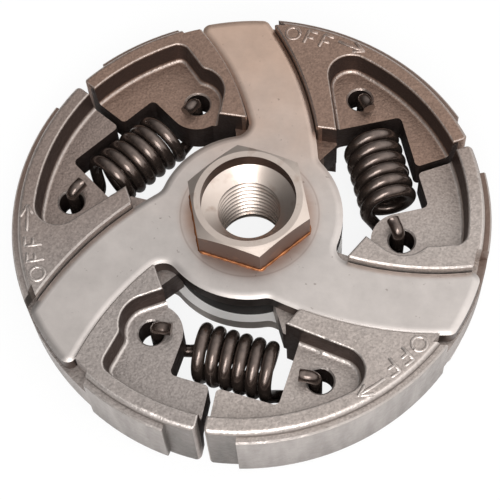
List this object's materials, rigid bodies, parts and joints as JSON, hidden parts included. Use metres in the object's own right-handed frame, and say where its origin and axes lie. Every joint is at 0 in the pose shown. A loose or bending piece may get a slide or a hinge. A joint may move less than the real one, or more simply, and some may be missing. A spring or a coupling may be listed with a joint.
{
  "type": "centrifugal clutch",
  "caption": "Centrifugal clutch: sprung sintered shoes swing out on curved spider arms of a hexagon hub to grip a drum.",
  "frame": {"origin": "on the crank axis, in the rear face of the hub", "axes": "+Z along the crank axis out of the hexagon, +Y through the middle of shoe 1, -X towards shoe 1's swing centre"},
  "size_m": [0.0821, 0.0819, 0.0194],
  "materials": {
    "hub_steel": "turned and milled, satin",
    "plate_steel": "blanked, satin",
    "shoe_sinter": "sintered, fine grain",
    "spring_steel": "dark oxidised wire"
  },
  "bodies": {
    "spider": {"hub": "hub_steel", "front_plate": "plate_steel", "spacer_ring": "plate_steel", "rear_plate": "plate_steel", "spring_1": "spring_steel", "spring_2": "spring_steel", "spring_3": "spring_steel"},
    "shoe_1": {"shoe_1": "shoe_sinter"},
    "shoe_2": {"shoe_2": "shoe_sinter"},
    "shoe_3": {"shoe_3": "shoe_sinter"}
  },
  "joints": [
    {"name": "shoe_1_swing", "type": "hinge", "parent": "spider", "child": "shoe_1", "pos_m": [-0.04935, 0, 0.00625], "axis": [0, 0, 1], "range_deg": [0, 1.8], "stiffness_Nm_per_rad": 5, "springref_deg": -0.57, "deforming": ["spring_1", "spring_3"]},
    {"name": "shoe_2_swing", "type": "hinge", "parent": "spider", "child": "shoe_2", "pos_m": [0.02467, -0.04274, 0.00625], "axis": [0, 0, 1], "range_deg": [0, 1.8], "stiffness_Nm_per_rad": 5, "springref_deg": -0.57, "deforming": ["spring_2", "spring_1"]},
    {"name": "shoe_3_swing", "type": "hinge", "parent": "spider", "child": "shoe_3", "pos_m": [0.02467, 0.04274, 0.00625], "axis": [0, 0, 1], "range_deg": [0, 1.8], "stiffness_Nm_per_rad": 5, "springref_deg": -0.57, "deforming": ["spring_3", "spring_2"]}
  ]
}
